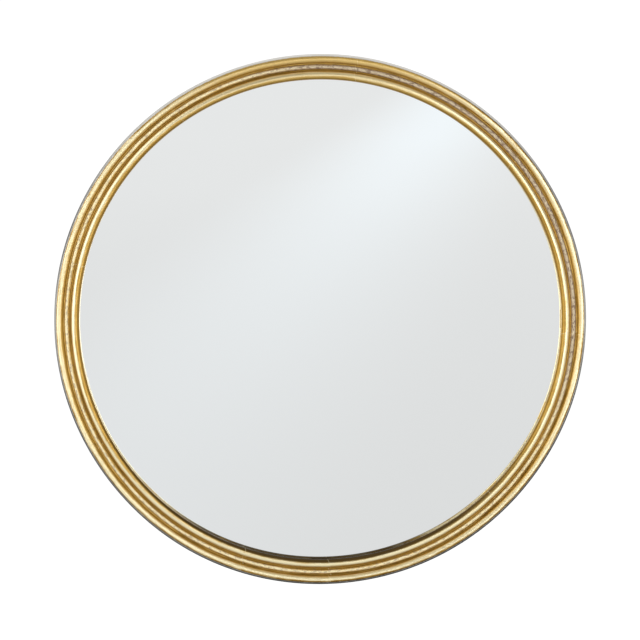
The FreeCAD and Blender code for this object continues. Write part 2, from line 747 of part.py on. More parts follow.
def make_hanger_ring(side_name):
    """A D of bent wire, its straight bar in the strap and its bow hanging between the strap's two screws."""
    body = new_body("hanger_ring_" + side_name)
    spread = "%d * places.hanger_spread" % SIDES[side_name]
    half = "places.ring_half_width"
    corner = "places.ring_corner"
    base = "sizes.hanger_rise"
    shoulder = "sizes.hanger_rise - places.ring_corner"
    spring = "sizes.hanger_rise - places.ring_leg"
    right = "%s + %s" % (spread, half)
    left = "%s - %s" % (spread, half)
    bar_right_end = right + " - " + corner
    bar_left_end = left + " + " + corner
    path = new_sketch(body, side_name + "_ring_path", "XY_Plane", "places.bar_level")
    bar_left = draw_line(path, (spread, base), (bar_left_end, base))
    left_bend = draw_arc(path, (bar_left_end, shoulder), corner, 90, 180)
    left_leg = draw_line(path, (left, shoulder), (left, spring))
    bow = draw_arc(path, (spread, spring), half, 180, 360)
    right_leg = draw_line(path, (right, spring), (right, shoulder))
    right_bend = draw_arc(path, (bar_right_end, shoulder), corner, 0, 90)
    bar_right = draw_line(path, (bar_right_end, base), (spread, base))
    run = [bar_left, left_bend, left_leg, bow, right_leg, right_bend, bar_right]
    for i in range(len(run)):
        join(path, (run[i], END), (run[(i + 1) % len(run)], START))
    pin(path, bar_left, START, spread, base)
    pin(path, left_bend, START, bar_left_end)
    pin(path, left_bend, END, up=shoulder)
    pin(path, bow, START, up=spring)
    pin(path, bow, END, up=spring)
    pin(path, right_bend, START, up=shoulder)
    pin(path, right_bend, END, bar_right_end)
    section = new_sketch(body, side_name + "_wire_section", "YZ_Plane", spread)
    draw_circle(section, base, "places.bar_level", "sizes.wire_diameter")
    wire = body.newObject("PartDesign::AdditivePipe", side_name + "_wire")
    wire.Profile = section
    wire.Spine = path
    return body


# Bumpers


def make_wall_bumpers():
    """Rubber bumpers on the board, between the upright and level lines; they touch the wall."""
    between = 45
    body = new_body("wall_bumpers", between)
    sketch = new_sketch(body, "bumper_section")
    middle = "places.bumper_radius"
    rim = middle + " + sizes.bumper_diameter / 2"
    draw_turning_axis(sketch, middle)
    draw_outline(sketch, [
        (middle, "0"),
        (rim + " - sizes.bumper_chamfer", "0"),
        (rim, "sizes.bumper_chamfer"),
        (rim, "places.wall_gap"),
        (middle, "places.wall_gap"),
    ])
    bumper = turn(body, sketch, "bumper", axis="Axis0")
    repeat_round(body, [bumper], "bumpers", "sizes.bumper_count")
    return body


def make_pieces():
    """Every separate piece of the mirror, from the front to the back."""
    pieces = [make_reed(which) for which in ("outer", "middle", "inner")]
    pieces.append(make_flat_ring(
        "back_ring", "places.ring_inner_radius", "places.ring_outer_radius", "places.ring_rear", "places.ring_front"
    ))
    pieces.append(make_valley_seams())
    pieces.append(make_reed_welds())
    pieces.append(make_flat_ring(
        "rebate_hoop", "places.hoop_inner_radius", "places.hoop_outer_radius", "places.wall_gap", "places.ring_rear"
    ))
    pieces.append(make_hoop_welds())
    pieces.append(make_flat_ring(
        "glazing_tape", "places.ring_inner_radius + sizes.tape_inset", "places.glass_radius - sizes.tape_inset",
        "places.glass_front", "places.ring_rear",
    ))
    pieces.append(make_mirror_glass())
    pieces.append(make_setting_blocks())
    pieces.append(make_flat_ring("foam_sheet", "0", "places.glass_radius", "places.board_front", "places.glass_rear"))
    pieces.append(make_back_board())
    pieces.append(make_button_lugs())
    pieces += [make_turn_button(number + 1) for number in range(round(value("sizes.button_count")))]
    pieces.append(make_pivot_washers())
    pieces.append(make_pivot_screws())
    for side_name in SIDES:
        pieces.append(make_hanger_strap(side_name))
        pieces.append(make_hanger_ring(side_name))
    pieces.append(make_hanger_screws())
    pieces.append(make_wall_bumpers())
    return pieces


def check_pieces(pieces):
    """Stops if any object failed or any piece has no sound solid."""
    for item in doc.Objects:
        if "Invalid" in item.State or "Error" in item.State:
            raise RuntimeError("%s is %s" % (item.Name, item.State))
    for piece in pieces:
        shape = piece.Shape
        if shape.isNull() or not shape.isValid() or not shape.Solids:
            raise RuntimeError("%s has no sound solid" % piece.Label)


fill_sheets()
all_pieces = make_pieces()
doc.recompute()
check_pieces(all_pieces)
os.makedirs("parts", exist_ok=True)
for piece in all_pieces:
    piece.Shape.exportStep("parts/%s.step" % piece.Label)
    solids = piece.Shape.Solids
    print("%-20s %2d solid(s) %12.1f mm3" % (piece.Label, len(solids), piece.Shape.Volume))
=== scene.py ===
"""Round wall mirror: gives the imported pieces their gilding, glass, lacquer and plating, and lights them."""

import math

import bpy
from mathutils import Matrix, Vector


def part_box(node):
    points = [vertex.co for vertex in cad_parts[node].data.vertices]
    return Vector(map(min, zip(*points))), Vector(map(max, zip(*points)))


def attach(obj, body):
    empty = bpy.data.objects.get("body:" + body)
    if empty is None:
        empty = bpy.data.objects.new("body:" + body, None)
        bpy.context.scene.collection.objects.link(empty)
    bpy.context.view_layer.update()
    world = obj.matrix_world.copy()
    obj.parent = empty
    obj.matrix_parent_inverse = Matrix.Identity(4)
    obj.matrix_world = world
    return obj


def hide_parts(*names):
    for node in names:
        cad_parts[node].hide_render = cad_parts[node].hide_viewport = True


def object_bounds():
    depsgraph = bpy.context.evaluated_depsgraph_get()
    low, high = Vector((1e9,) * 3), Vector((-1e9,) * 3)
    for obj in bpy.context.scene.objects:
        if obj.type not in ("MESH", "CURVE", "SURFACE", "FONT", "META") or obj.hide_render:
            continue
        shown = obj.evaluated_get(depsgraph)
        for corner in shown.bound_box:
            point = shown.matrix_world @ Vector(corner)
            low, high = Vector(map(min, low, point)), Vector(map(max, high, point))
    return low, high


bl_info = {
    "name": "Round gilt mirror",
    "version": (1, 0, 0),
    "blender": (4, 5, 0),
    "location": "View3D > Sidebar > Mirror",
    "description": "Dresses a round wall mirror with three gilded reeds and its ironwork, board and hangers",
    "category": "Object",
}

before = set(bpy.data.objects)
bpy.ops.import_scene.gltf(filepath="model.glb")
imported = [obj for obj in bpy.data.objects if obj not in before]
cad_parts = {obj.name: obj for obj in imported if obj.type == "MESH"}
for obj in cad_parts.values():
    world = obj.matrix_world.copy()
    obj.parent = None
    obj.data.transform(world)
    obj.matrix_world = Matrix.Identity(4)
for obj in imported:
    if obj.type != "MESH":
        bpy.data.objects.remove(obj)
CAD_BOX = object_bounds()
MM = 0.001

# Steps of a mesh round its ring and across its bar
STEPS_ROUND = 480
STEPS_ACROSS = 36

# Edges sharper than this are rounded, and faces that meet at less than that are shaded as one
SHARP = math.radians(40)
SMOOTH = math.radians(35)

# How far the seams' edges reach under the bars' skin, how hollow their faces are, and how thick they are
SEAM_BITE = 0.3 * MM
SEAM_HOLLOW = 0.15 * MM
SEAM_BODY = 0.8 * MM


def linear(hex_colour):
    """An sRGB hex colour as linear red, green, blue and alpha."""
    channels = [int(hex_colour[i:i + 2], 16) / 255 for i in (0, 2, 4)]
    curved = [c / 12.92 if c <= 0.04045 else ((c + 0.055) / 1.055) ** 2.4 for c in channels]
    return (*curved, 1.0)


def ring_of(node):
    """Ring radius, bar radius and place along Y of a bar that is bent to a ring."""
    low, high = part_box(node)
    bar = (high.y - low.y) / 2
    reach = max(high.x - low.x, high.z - low.z) / 2
    return reach - bar, bar, (high.y + low.y) / 2


# Settings that a user would change


def length(name, description, default):
    return bpy.props.FloatProperty(
        name=name, description=description, default=default, min=0.0, precision=5,
        unit="LENGTH", subtype="DISTANCE",
    )


def colour(name, description, hex_colour):
    return bpy.props.FloatVectorProperty(
        name=name, description=description, default=linear(hex_colour), size=4, min=0.0, max=1.0,
        subtype="COLOR",
    )


def angle(name, description, degrees):
    return bpy.props.FloatProperty(
        name=name, description=description, default=math.radians(degrees), unit="ROTATION", subtype="ANGLE"
    )


def number(name, description, default):
    return bpy.props.FloatProperty(name=name, description=description, default=default, min=0.0)


class GildingSettings(bpy.types.PropertyGroup):
    """The leaf on the three reeds and how it has aged."""

    waviness: length("Waviness", "How far the hand-rolled bars stray from a true circle", 0.5 * MM)
    # Also the painted highlight a little outside each crest
    leaf_colour: colour("Leaf", "Burnished imitation gold leaf, clear of glaze", "FAEDC2")
    glaze_colour: colour("Glaze", "Leaf under the thin brown toning glaze", "CAA455")
    # Painted shade on the flanks, mostly the inner ones
    shade_colour: colour("Shade", "Leaf under thick glaze on the inner flank", "AC8539")
    # Painted shade at the top of the ring: an even tone that dims the crests
    top_shade_colour: colour("Even coat", "Leaf under even glaze at the top, where it was hardly wiped", "D2AF62")
    # Painted shade in the grooves, with the glaze and dirt that lie there
    groove_shade_colour: colour("Grooves", "Glaze and dirt in the grooves", "70520A")
    # Painted shade towards the bottom of the inner reed and its gilt lap; also the brown glaze on the outer
    # reed's back
    dark_glaze_and_shade_colour: colour("Gathered glaze", "Thick glaze that ran down to the bottom", "423114")
    bole_colour: colour("Bole", "Brown clay where the leaf is rubbed through", "75584A")
    rim_colour: colour("Bare rim", "Varnished steel of the outer flank, where the leaf stops", "F4F2EC")
    silver_colour: colour("Rubbed leaf", "Leaf of the middle reed, rubbed to a silvery grey", "B5A593")
    seam_high_rise: length("Seam on the high reed", "From that bar's middle to the seam's edge", 1.9 * MM)
    seam_low_rise: length("Seam on the low reed", "From that bar's middle to the seam's edge", 3.3 * MM)
    leaf_pitch: angle("Leaf pitch", "Angle from one seam of the leaf to the next", 42.5)
    first_seam: angle("First seam", "Angle of a seam, clockwise from the top", 8.2)


class BackSettings(bpy.types.PropertyGroup):
    """Glass, ironwork, board and fittings."""

    mirror_colour: colour("Silvering", "What the silvered glass leaves of white", "F3F5F5")
    edge_colour: colour("Glass edge", "Ground edge of the glass", "6F8F80")
    backing_colour: colour("Backing paint", "Paint behind the silver", "7C8084")
    iron_colour: colour("Iron", "Brown-black lacquer on the ironwork", "3A2D24")
    board_colour: colour("Board", "Black paint on the fibreboard", "33302D")
    zinc_colour: colour("Zinc", "Zinc plating on the fittings", "C9CBC9")
    chromate_colour: colour("Chromate", "Straw tint that the plating takes in places", "CDBE93")
    bumper_colour: colour("Bumpers", "Grey rubber of the bumpers", "7B7973")
    tape_colour: colour("Tape", "Black rubber of the tape and blocks", "262524")
    foam_colour: colour("Foam", "White foam sheet", "D9D8D2")
    iron_ease: length("Iron edges", "Rounding of the flat bars' edges", 0.6 * MM)
    board_ease: length("Board edge", "Rounding of the board's edge", 1.0 * MM)
    arris: length("Arris", "Ground corner of the glass", 0.5 * MM)
    plate_ease: length("Plate edges", "Rounding of stamped edges on the fittings", 0.2 * MM)
    rubber_ease: length("Rubber edges", "Rounding of the moulded rubber", 0.5 * MM)


class StageSettings(bpy.types.PropertyGroup):
    """Camera, floor and light."""

    elevation: angle("Elevation", "Height of the camera above the mirror's axis", 5.4)
    azimuth: angle("Azimuth", "Camera to the right of the mirror's axis", -2.0)
    distance: length("Distance", "From the camera to the mirror's face", 6.0)
    view_width: length("View width", "What the picture spans at the mirror's face", 0.9617)
    floor_drop: length("Floor", "From the mirror's centre down to the floor", 0.9)
    right_power: number("Right softbox", "Power of the right softbox in watts", 22.0)
    left_power: number("Left softbox", "Power of the left softbox in watts", 30.0)


# Small tools


def deselect_all():
    if bpy.context.mode != "OBJECT":
        bpy.ops.object.mode_set(mode="OBJECT")
    bpy.ops.object.select_all(action="DESELECT")


def add_node(tree, kind, inputs=None, out=0, stops=None, **settings):
    """Adds a node with its settings; an input is a value or the socket that it is linked from.

    Gives back the output that is asked for, or the node itself where out is None.
    """
    node = tree.nodes.new("ShaderNode" + kind)
    for name, setting in settings.items():
        setattr(node, name, setting)
    for index, (position, tint) in enumerate((stops or {}).items()):
        elements = node.color_ramp.elements
        element = elements[index] if index < 2 else elements.new(position)
        element.position = position
        element.color = tint
    for name, source in (inputs or {}).items():
        if isinstance(source, bpy.types.NodeSocket):
            tree.links.new(source, node.inputs[name])
        else:
            node.inputs[name].default_value = source
    return node if out is None else node.outputs[out]


def new_material(name):
    """An empty node material; returns it with its tree."""
    material = bpy.data.materials.new(name)
    material.use_nodes = True
    material.node_tree.nodes.clear()
    return material, material.node_tree


def paint(obj, material):
    """Gives the object this material alone."""
    obj.data.materials.clear()
    obj.data.materials.append(material)


def apply_modifiers(obj):
    deselect_all()
    obj.select_set(True)
    bpy.context.view_layer.objects.active = obj
    for modifier in list(obj.modifiers):
        bpy.ops.object.modifier_apply(modifier=modifier.name)


def roll_by_hand(piece, waviness):
    """Bends a ring slightly off its circle, in waves of about 0.2 m, alike for neighbouring rings."""
    for direction, wave in {"X": 0.2, "Z": 0.23}.items():
        name = "rolling_" + direction
        texture = bpy.data.textures.get(name) or bpy.data.textures.new(name, "CLOUDS")
        texture.noise_scale = wave
        texture.noise_depth = 0
        bend = piece.modifiers.new(name, "DISPLACE")
        bend.texture = texture
        bend.texture_coords = "LOCAL"
        bend.direction = direction
        bend.mid_level = 0.5
        bend.strength = 2 * waviness
    apply_modifiers(piece)


def loft_rings(name, loops, capped=False):
    """A surface through circles about the mirror's axis, each given as its radius and place along Y."""
    deselect_all()
    radius, depth = loops[0]
    bpy.ops.mesh.primitive_circle_add(
        vertices=STEPS_ROUND, radius=radius, fill_type="NGON" if capped else "NOTHING",
        location=(0, depth, 0), rotation=(math.pi / 2, 0, 0),
    )
    piece = bpy.context.object
    piece.name = name
    bpy.ops.object.transform_apply(location=True, rotation=True, scale=True)
    bpy.ops.object.mode_set(mode="EDIT")
    bpy.ops.mesh.select_all(action="SELECT")
    for next_radius, next_depth in loops[1:]:
        bpy.ops.mesh.extrude_edges_move(TRANSFORM_OT_translate={"value": (0, next_depth - depth, 0)})
        growth = next_radius / radius
        bpy.ops.transform.resize(value=(growth, 1, growth), center_override=(0, 0, 0))
        radius, depth = next_radius, next_depth
    if capped:
        bpy.ops.mesh.edge_face_add()
    bpy.ops.mesh.select_all(action="SELECT")
    bpy.ops.mesh.remove_doubles(threshold=0.001 * MM)
    bpy.ops.mesh.normals_make_consistent(inside=False)
    bpy.ops.object.mode_set(mode="OBJECT")
    return piece


def ease_edges(piece, ease):
    """Rounds the sharp edges and shades the rest smooth."""
    rounding = piece.modifiers.new("rounding", "BEVEL")
    rounding.width = ease
    rounding.segments = 3
    rounding.limit_method = "ANGLE"
    rounding.angle_limit = SHARP
    apply_modifiers(piece)
    bpy.ops.object.shade_smooth_by_angle(angle=SMOOTH)
    flatten = piece.modifiers.new("flat_faces", "WEIGHTED_NORMAL")
    flatten.weight = 100
    flatten.keep_sharp = True
    apply_modifiers(piece)


def section_of(node):
    """Inner and outer radius, front and back of a piece that is turned about the mirror's axis."""
    radii = [math.hypot(point.co.x, point.co.z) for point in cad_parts[node].data.vertices]
    low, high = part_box(node)
    return min(radii), max(radii), low.y, high.y


def flat_ring(name, node, ease):
    """A flat bar rolled to a ring, with eased edges."""
    inner, outer, front, back = section_of(node)
    corners = [(inner, front), (outer, front), (outer, back), (inner, back), (inner, front)]
    piece = loft_rings(name, corners)
    ease_edges(piece, ease)
    return piece


def round_sheet(name, node, ease):
    """A round sheet with an eased edge."""
    _, outer, front, back = section_of(node)
    piece = loft_rings(name, [(outer, front), (outer, back)], capped=True)
    ease_edges(piece, ease)
    return piece


def eased_copy(name, node, ease):
    """A copy of a node with its sharp edges rounded."""
    deselect_all()
    piece = bpy.data.objects.new(name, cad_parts[node].data.copy())
    bpy.context.scene.collection.objects.link(piece)
    piece.select_set(True)
    bpy.context.view_layer.objects.active = piece
    bpy.ops.object.mode_set(mode="EDIT")
    bpy.ops.mesh.select_all(action="SELECT")
    bpy.ops.mesh.remove_doubles(threshold=0.002 * MM)
    bpy.ops.mesh.dissolve_limited(angle_limit=math.radians(1))
    bpy.ops.object.mode_set(mode="OBJECT")
    ease_edges(piece, ease)
    return piece


def finish_piece(piece, node, material, body="frame"):
    """Paints the piece and puts it in its node's place."""
    if material:
        paint(piece, material)
    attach(piece, body)
    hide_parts(node)


def flank_point(node, rise, side):
    """Radius and place along Y, so far in front of a bar's middle, under its outer or inner flank."""
    ring, bar, depth = ring_of(node)
    skin = bar - SEAM_BITE
    return ring + side * math.sqrt(skin ** 2 - rise ** 2), depth - rise


# Materials

# What shows across a bar, from its inner flank at 0 over the crest at 0.5 to its outer flank at 1, where
# grooves lie on both sides of it, and where its outer or its inner flank is open: brown glaze on the leaf,
# with a painted highlight near the crest and painted shade on the flanks and in the grooves
GLAZE_AND_PAINTED_LIGHT = {
    0: ((0.12, "groove_shade"), (0.27, "shade"), (0.39, "glaze"), (0.52, "leaf"), (0.62, "leaf"), (0.76, "glaze"),
        (0.9, "groove_shade")),
    1: ((0.0, "groove_shade"), (0.15, "shade"), (0.34, "glaze"), (0.53, "leaf"), (0.61, "leaf"), (0.69, "shade"),
        (0.77, "groove_shade")),
    -1: ((0.0, "leaf"), (0.08, "shade"), (0.33, "shade"), (0.43, "glaze"), (0.53, "leaf"), (0.65, "leaf"),
         (0.81, "glaze"), (1.0, "groove_shade")),
}


def gold_leaf(name, node, settings, highlight_lean=(0, 0), open_side=0, top_shade=0.0, wrinkle=0.1 * MM, rubbed=False):
    """Imitation gold leaf, laid on brown bole, burnished, toned with a brown glaze and varnished.

    Across each bar the colour carries painted light: pale leaf a little outside each crest as a painted
    highlight, deep ochre on the inner flank and brown in the grooves as painted shade, with faint seams
    between the leaves and fine wrinkles. At the top an even tone is painted shade, towards the bottom painted
    shade darkens the inner flank, and the outermost flank is bare steel.
    """
    ring, bar, depth = ring_of(node)
    material, tree = new_material(name)
    place = add_node(tree, "TexCoord", out="Object")
    x, y, z = add_node(tree, "SeparateXYZ", {0: place}, out=None).outputs
    flat = add_node(tree, "CombineXYZ", {0: x, 1: z})
    radius = add_node(tree, "VectorMath", {0: flat}, operation="LENGTH", out="Value")

    # Angles round the bar, from its crest to the outer flank, and round the ring, clockwise from the top
    across = add_node(tree, "Math", {0: radius, 1: ring}, operation="SUBTRACT")
    up = add_node(tree, "Math", {0: depth, 1: y}, operation="SUBTRACT")
    tilt = add_node(tree, "Math", {0: across, 1: up}, operation="ARCTAN2")
    clock = add_node(tree, "Math", {0: x, 1: z}, operation="ARCTAN2")

    # Streaks along the bar, 40 mm long and 1 mm wide, blotches of 12 mm and specks of 3 mm
    along = add_node(tree, "VectorMath", {0: flat, "Scale": 1 / (40 * MM)}, operation="SCALE")
    girth = add_node(tree, "Math", {0: tilt, 1: bar / (1 * MM)}, operation="MULTIPLY")
    lift = add_node(tree, "CombineXYZ", {2: girth})
    streaked = add_node(tree, "VectorMath", {0: along, 1: lift}, operation="ADD")
    streak = add_node(tree, "TexNoise", {"Vector": streaked, "Scale": 1.0, "Detail": 4.0})
    blotch = add_node(
        tree, "TexNoise", {"Vector": place, "Scale": 1 / (12 * MM), "Detail": 5.0, "Roughness": 0.6}
    )
    speck = add_node(
        tree, "TexNoise", {"Vector": place, "Scale": 1 / (3 * MM), "Detail": 4.0, "Roughness": 0.65}
    )

    # Leaves round the ring, with ragged, slanted seams
    stray = add_node(tree, "Math", {0: speck, 1: 3 * MM / ring, 2: clock}, operation="MULTIPLY_ADD")
    turned = add_node(tree, "Math", {0: tilt, 1: 2 * MM / ring, 2: stray}, operation="MULTIPLY_ADD")
    turned = add_node(tree, "Math", {0: turned, 1: settings.first_seam}, operation="SUBTRACT")
    counted = add_node(tree, "Math", {0: turned, 1: settings.leaf_pitch}, operation="DIVIDE")
    leaf = add_node(tree, "Math", {0: counted}, operation="FLOOR")
    from_seam = add_node(tree, "Math", {0: counted, 1: 0.5}, operation="PINGPONG")
    seam_width = 0.7 * MM / ring / settings.leaf_pitch
    seam = add_node(
        tree, "MapRange", {"Value": from_seam, "From Max": seam_width, "To Min": 0.4, "To Max": 0.0}
    )
    tone = add_node(tree, "TexWhiteNoise", {"W": leaf}, noise_dimensions="1D", out="Value")

    # Glaze with a painted highlight and shade across the bar, shifted by the streaks and blotches
    shift = add_node(tree, "Math", {0: streak, 1: 0.3, 2: -0.19}, operation="MULTIPLY_ADD")
    shift = add_node(tree, "Math", {0: blotch, 1: 0.12, 2: shift}, operation="MULTIPLY_ADD")
    shift = add_node(tree, "Math", {0: tone, 1: 0.04, 2: shift}, operation="MULTIPLY_ADD")
    painted_light_across = add_node(tree, "MapRange", {"Value": tilt, "From Min": -math.pi / 2, "From Max": math.pi / 2})
    painted_light_across = add_node(tree, "Math", {0: painted_light_across, 1: shift}, operation="ADD")
    level, swing = (math.radians(degrees) / math.pi for degrees in highlight_lean)
    sideways = add_node(tree, "Math", {0: x, 1: ring}, operation="DIVIDE")
    sideways = add_node(tree, "Math", {0: sideways, 1: 2.0}, operation="POWER")
    painted_light_across = add_node(tree, "Math", {0: sideways, 1: -swing, 2: painted_light_across}, operation="MULTIPLY_ADD")
    painted_light_across = add_node(tree, "Math", {0: painted_light_across, 1: level}, operation="SUBTRACT")
    stops = {spot: getattr(settings, finish + "_colour") for spot, finish in GLAZE_AND_PAINTED_LIGHT[open_side]}
    gold = add_node(tree, "ValToRGB", {0: painted_light_across}, stops=stops)
    if top_shade:
        # Painted shade at the top: an even tone that dims the crests there, clear of the grooves
        top_shaded = add_node(
            tree, "MapRange", {"Value": z, "From Min": 0.75 * ring, "From Max": ring, "To Max": top_shade},
            interpolation_type="SMOOTHSTEP",
        )
        off_crest = add_node(tree, "Math", {0: tilt}, operation="ABSOLUTE")
        clear_of_groove = add_node(
            tree, "MapRange",
            {"Value": off_crest, "From Min": math.radians(62), "From Max": math.radians(35)},
            interpolation_type="SMOOTHSTEP",
        )
        top_shaded = add_node(tree, "Math", {0: top_shaded, 1: clear_of_groove}, operation="MULTIPLY")
        gold = add_node(tree, "Mix", {0: top_shaded, 6: gold, 7: settings.top_shade_colour}, data_type="RGBA", out=2)
    if open_side < 0:
        # Painted shade towards the bottom of the inner flank: round its back, which the glass shows,
        # and all over it at the lowest point
        low = add_node(
            tree, "MapRange", {"Value": z, "From Min": -0.4 * ring, "From Max": -0.86 * ring, "To Max": 0.9},
            interpolation_type="SMOOTHSTEP",
        )
        flank = add_node(
            tree, "MapRange", {"Value": tilt, "From Min": math.radians(-8), "From Max": math.radians(-30)},
            interpolation_type="SMOOTHSTEP",
        )
        visible = add_node(
            tree, "MapRange", {"Value": tilt, "From Min": math.radians(-84), "From Max": math.radians(-62)},
            interpolation_type="SMOOTHSTEP",
        )
        down = add_node(
            tree, "VectorMath", {0: place, 1: (-0.1, 0.0, -0.995)}, operation="DOT_PRODUCT", out="Value"
        )
        shade_round_back = add_node(
            tree, "MapRange", {"Value": down, "From Min": 0.78 * ring, "From Max": 0.92 * ring},
            interpolation_type="SMOOTHSTEP",
        )
        painted_bottom_shade = add_node(tree, "Math", {0: visible, 1: shade_round_back}, operation="MAXIMUM")
        painted_bottom_shade = add_node(tree, "Math", {0: painted_bottom_shade, 1: flank}, operation="MULTIPLY")
        painted_bottom_shade = add_node(tree, "Math", {0: painted_bottom_shade, 1: low}, operation="MULTIPLY")
        gold = add_node(
            tree, "Mix", {0: painted_bottom_shade, 6: gold, 7: settings.dark_glaze_and_shade_colour}, data_type="RGBA", out=2
        )
    worn = add_node(
        tree, "MapRange", {"Value": speck, "From Min": 0.64, "From Max": 0.78, "To Max": 0.7},
        interpolation_type="SMOOTHSTEP",
    )
    if rubbed:
        # Rubbed silvery from twelve to four o'clock, with the bole showing in patches
        away = add_node(tree, "Math", {0: clock, 1: math.radians(48)}, operation="SUBTRACT")
        away = add_node(tree, "Math", {0: away}, operation="ABSOLUTE")
        side = add_node(
            tree, "MapRange", {"Value": away, "From Min": math.radians(75), "From Max": math.radians(45)},
            interpolation_type="SMOOTHSTEP",
        )
        side = add_node(tree, "Math", {0: side, 1: 0.7}, operation="MULTIPLY")
        rub = add_node(tree, "Math", {0: side, 1: 0.4}, operation="MAXIMUM")
        gold = add_node(tree, "Mix", {0: side, 6: gold, 7: settings.silver_colour}, data_type="RGBA", out=2)
        stretched = add_node(tree, "VectorMath", {0: streaked, 1: (7.0, 7.0, 0.45)}, operation="MULTIPLY")
        patch = add_node(tree, "TexNoise", {"Vector": stretched, "Scale": 1.0, "Detail": 4.0})
        patch = add_node(
            tree, "MapRange", {"Value": patch, "From Min": 0.5, "From Max": 0.6},
            interpolation_type="SMOOTHSTEP",
        )
        worn = add_node(tree, "Math", {0: patch, 1: rub, 2: worn}, operation="MULTIPLY_ADD")
    gold = add_node(tree, "Mix", {0: worn, 6: gold, 7: settings.bole_colour}, data_type="RGBA", out=2)
    gold = add_node(tree, "Mix", {0: seam, 6: gold, 7: settings.leaf_colour}, data_type="RGBA", out=2)

    depth_of_wrinkles = 1.0
    if open_side > 0:
        # The leaf stops raggedly on the outer flank, where the bar is bare and varnished, with the marks of
        # its drawing, as far as the brown glaze on its back
        ragged = add_node(tree, "Math", {0: speck, 1: 0.3, 2: tilt}, operation="MULTIPLY_ADD")
        bare = add_node(
            tree, "MapRange", {"Value": ragged, "From Min": math.radians(37), "From Max": math.radians(45)},
            interpolation_type="SMOOTHSTEP",
        )
        steel = add_node(
            tree, "Mix", {0: streak, 6: linear("BDB9B0"), 7: settings.rim_colour}, data_type="RGBA", out=2
        )
        gold = add_node(tree, "Mix", {0: bare, 6: gold, 7: steel}, data_type="RGBA", out=2)
        back = add_node(
            tree, "MapRange",
            {"Value": ragged, "From Min": math.radians(106), "From Max": math.radians(114)},
            interpolation_type="SMOOTHSTEP",
        )
        gold = add_node(
            tree, "Mix", {0: back, 6: gold, 7: settings.dark_glaze_and_shade_colour}, data_type="RGBA", out=2
        )
        depth_of_wrinkles = add_node(tree, "MapRange", {"Value": bare, "To Min": 1.0, "To Max": 0.12})

    # Gloss and relief
    least = 0.34 if rubbed else 0.22
    rough = add_node(tree, "Math", {0: speck, 1: 0.22, 2: least}, operation="MULTIPLY_ADD")
    rough = add_node(tree, "Math", {0: worn, 1: 0.25, 2: rough}, operation="MULTIPLY_ADD")
    metal = add_node(tree, "Math", {0: worn, 1: -0.6, 2: 1.0}, operation="MULTIPLY_ADD")
    height = add_node(tree, "Math", {0: streak, 1: 0.5, 2: speck}, operation="MULTIPLY_ADD")
    relief = add_node(tree, "Bump", {"Strength": depth_of_wrinkles, "Distance": wrinkle, "Height": height})
    shader = add_node(
        tree, "BsdfPrincipled",
        {"Base Color": gold, "Metallic": metal, "Roughness": rough, "Normal": relief,
         "Coat Weight": 0.2, "Coat Roughness": 0.2},
    )
    add_node(tree, "OutputMaterial", {"Surface": shader}, out=None)
    return material


def silvered_glass(settings):
    """Float glass, silvered behind: gives back nearly all it sees, a little greyer, with faint smears."""
    material, tree = new_material("silvered_float_glass")
    place = add_node(tree, "TexCoord", out="Object")
    sweep = add_node(tree, "VectorRotate", {"Vector": place, "Angle": 0.6}, rotation_type="Y_AXIS")
    sweep = add_node(tree, "VectorMath", {0: sweep, 1: (3.0, 1.0, 0.5)}, operation="MULTIPLY")
    wiping = add_node(tree, "TexNoise", {"Vector": sweep, "Scale": 1 / (60 * MM), "Detail": 3.0})
    rough = add_node(tree, "MapRange", {"Value": wiping, "From Min": 0.55, "From Max": 0.8, "To Max": 0.02})
    shader = add_node(
        tree, "BsdfPrincipled", {"Base Color": settings.mirror_colour, "Metallic": 1.0, "Roughness": rough}
    )
    add_node(tree, "OutputMaterial", {"Surface": shader}, out=None)
    return material


def ground_glass(settings):
    """The sheet's edge, ground with a fine stone: green, matt and finely scored along its length."""
    material, tree = new_material("ground_glass_edge")
    place = add_node(tree, "TexCoord", out="Object")
    along = add_node(tree, "VectorMath", {0: place, 1: (0.05, 1.0, 0.05)}, operation="MULTIPLY")
    score = add_node(tree, "TexNoise", {"Vector": along, "Scale": 1 / (0.4 * MM), "Detail": 2.0})
    rough = add_node(tree, "Math", {0: score, 1: 0.3, 2: 0.35}, operation="MULTIPLY_ADD")
    relief = add_node(tree, "Bump", {"Strength": 1.0, "Distance": 0.02 * MM, "Height": score})
    shader = add_node(
        tree, "BsdfPrincipled",
        {"Base Color": settings.edge_colour, "Roughness": rough, "Normal": relief, "IOR": 1.52},
    )
    add_node(tree, "OutputMaterial", {"Surface": shader}, out=None)
    return material


def backing_paint(settings):
    """Curtain-coated paint over the silver: even grey, with faint flow lines."""
    material, tree = new_material("mirror_backing_paint")
    place = add_node(tree, "TexCoord", out="Object")
    flow = add_node(tree, "VectorMath", {0: place, 1: (1.0, 1.0, 0.05)}, operation="MULTIPLY")
    lines = add_node(tree, "TexNoise", {"Vector": flow, "Scale": 1 / (15 * MM), "Detail": 3.0})
    rough = add_node(tree, "Math", {0: lines, 1: 0.2, 2: 0.3}, operation="MULTIPLY_ADD")
    relief = add_node(tree, "Bump", {"Strength": 1.0, "Distance": 0.03 * MM, "Height": lines})
    shader = add_node(
        tree, "BsdfPrincipled", {"Base Color": settings.backing_colour, "Roughness": rough, "Normal": relief}
    )
    add_node(tree, "OutputMaterial", {"Surface": shader}, out=None)
    return material


